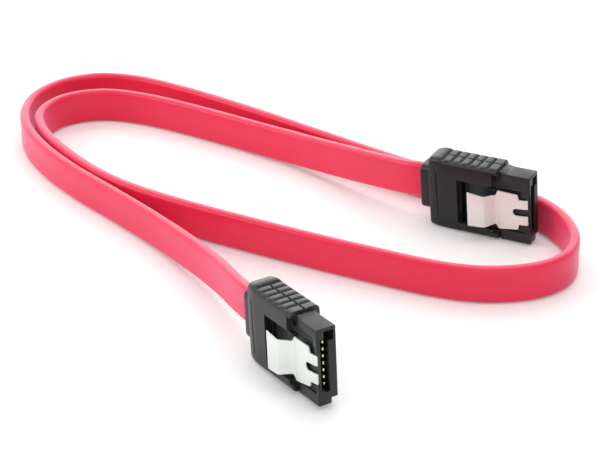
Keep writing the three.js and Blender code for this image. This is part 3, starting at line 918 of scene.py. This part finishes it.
jacket_vinyl = grained(
    "jacket_vinyl", (0.77, 0.0095, 0.054), (0.82, 0.0125, 0.064), (0.34, 0.42),
    grain=1500.0, patches=70.0, depth=0.000003,
    IOR=1.5, Specular_IOR_Level=0.45,
    Sheen_Weight=0.36, Sheen_Roughness=0.5, Sheen_Tint=(1.0, 0.5, 0.85, 1.0),
)
hood_plastic = grained(
    "hood_plastic", (0.0048, 0.0062, 0.0062), (0.0072, 0.0088, 0.0088), (0.31, 0.39),
    # The lighter edge colour is a painted highlight on the hood's raised edges
    grain=5200.0, patches=220.0, depth=0.000005, highlight_colour=(0.024, 0.027, 0.027),
    Specular_IOR_Level=0.36, Sheen_Weight=0.12, Sheen_Roughness=0.3,
)
nose_plastic = grained(
    "nose_plastic", (0.012, 0.014, 0.014), (0.016, 0.0185, 0.0185), (0.34, 0.44),
    grain=4200.0, patches=260.0, depth=0.000004, Specular_IOR_Level=0.34,
)
mould_plastic = grained(
    "mould_plastic", (0.008, 0.0085, 0.0085), (0.012, 0.0125, 0.0125), (0.5, 0.65),
    grain=3000.0, patches=240.0, depth=0.00002,
)
wire_foam = grained(
    "wire_foam", (0.76, 0.76, 0.73), (0.82, 0.82, 0.8), (0.5, 0.62),
    grain=4000.0, patches=300.0, depth=0.00002,
)
spring_steel = drawn(
    "spring_steel", (0.76, 0.79, 0.75), (0.8, 0.83, 0.79), (0.34, 0.42),
    scale=900.0, depth=0.000003, metallic=0.25,
)
contact_gold = drawn(
    "contact_gold", (0.92, 0.82, 0.58), (0.96, 0.87, 0.66), (0.22, 0.34), scale=1400.0, depth=0.000004,
)
tinned_copper = drawn(
    "tinned_copper", (0.66, 0.64, 0.61), (0.74, 0.72, 0.69), (0.3, 0.42), scale=1400.0, depth=0.000004,
)

# By material slot for the scene's own plug pieces, and by the start of the name for the CAD nodes that show
PLUG_FINISHES = {
    "hood_plastic": hood_plastic, "nose_plastic": nose_plastic,
    "spring_steel": spring_steel, "contact_gold": contact_gold,
}
CAD_FINISHES = {
    "inner_mould": mould_plastic, "pair_1_wire": wire_foam, "pair_2_wire": wire_foam,
    "pair_1_drain": tinned_copper, "pair_2_drain": tinned_copper,
}


def finish_cad_nodes():
    for name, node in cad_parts.items():
        for start, material in CAD_FINISHES.items():
            if name.startswith(start):
                node.data.materials.clear()
                node.data.materials.append(material)


# Floor, surroundings and lamps

FLOOR_HALF = 2.5
FLOOR_TONE = 0.88
FLOOR_GLOW = 0.12            # only what the camera sees of the floor glows
WORLD_ON_OBJECT = 0.45
WORLD_SEEN = 1.0
LAMP_TARGET = Vector((-0.02, 0.03, 0.0))
LAMPS = (                    # name, place, size and power, in metres and watts
    ("back_softbox", (-0.05, 0.75, 0.42), 1.3, 9.6),
    ("left_softbox", (-0.8, -0.1, 0.35), 0.6, 2.8),
    ("top_softbox", (0.1, 0.0, 0.8), 0.5, 1.6),
    ("front_softbox", (0.12, -0.7, 0.3), 0.6, 1.3),
)


def camera_share(tree):
    """1 for what the camera sees, also in a reflection or through glass, and 0 for light on the object."""
    path = tree.nodes.new("ShaderNodeLightPath")
    total = path.outputs["Is Camera Ray"]
    for other in ("Is Glossy Ray", "Is Transmission Ray"):
        add = tree.nodes.new("ShaderNodeMath")
        add.operation = "MAXIMUM"
        tree.links.new(total, add.inputs[0])
        tree.links.new(path.outputs[other], add.inputs[1])
        total = add.outputs[0]
    return total


def make_floor():
    bm = bmesh.new()
    bmesh.ops.create_grid(bm, x_segments=1, y_segments=1, size=FLOOR_HALF)
    floor = new_piece("floor", bm)
    material, tree, shader = new_material(
        "floor_paper", Base_Color=(FLOOR_TONE, FLOOR_TONE, FLOOR_TONE, 1), Roughness=0.9,
        Emission_Color=(1, 1, 1, 1), Specular_IOR_Level=0.1,
    )
    glow = tree.nodes.new("ShaderNodeMath")
    glow.operation = "MULTIPLY"
    glow.inputs[1].default_value = FLOOR_GLOW
    tree.links.new(camera_share(tree), glow.inputs[0])
    tree.links.new(glow.outputs[0], shader.inputs["Emission Strength"])
    floor.data.materials.append(material)


def make_world():
    world = bpy.data.worlds.new("studio")
    world.use_nodes = True
    bpy.context.scene.world = world
    tree = world.node_tree
    background = tree.nodes["Background"]
    background.inputs["Color"].default_value = (1, 1, 1, 1)
    level = tree.nodes.new("ShaderNodeMapRange")
    level.inputs["To Min"].default_value = WORLD_ON_OBJECT
    level.inputs["To Max"].default_value = WORLD_SEEN
    tree.links.new(camera_share(tree), level.inputs["Value"])
    tree.links.new(level.outputs["Result"], background.inputs["Strength"])


def add_lamp(name, spot, size, power):
    data = bpy.data.lights.new(name, "AREA")
    data.shape = "SQUARE"
    data.size = size
    data.energy = power
    lamp = bpy.data.objects.new(name, data)
    bpy.context.scene.collection.objects.link(lamp)
    lamp.location = spot
    lamp.rotation_euler = (LAMP_TARGET - Vector(spot)).to_track_quat("-Z", "Y").to_euler()


bpy.context.scene.view_settings.view_transform = "Standard"
set_camera()
make_jacket(jacket_vinyl)

hood_model, nose_model, latch_model = make_hood(), make_nose(), make_latch()
for letter in "ab":
    place_in_plug(hood_model, f"grip_hood_{letter}", letter, "cable", "hood_plastic", f"hood_{letter}")
    place_in_plug(nose_model, f"contact_nose_{letter}", letter, "cable", "nose_plastic", f"nose_{letter}")
    latch = f"latch_{letter}"
    place_in_plug(latch_model, f"spring_{latch}", letter, latch, "spring_steel", latch)
contact_models = [make_contact(z) for z in contact_heights()]
for letter in "ab":
    for i, model in enumerate(contact_models, 1):
        contact = f"contact_{letter}{i}"
        place_in_plug(model, f"gold_{contact}", letter, "cable", "contact_gold", contact)
for model in (hood_model, nose_model, latch_model, *contact_models):
    bpy.data.objects.remove(model)
finish_cad_nodes()

make_floor()
make_world()
for lamp in LAMPS:
    add_lamp(*lamp)
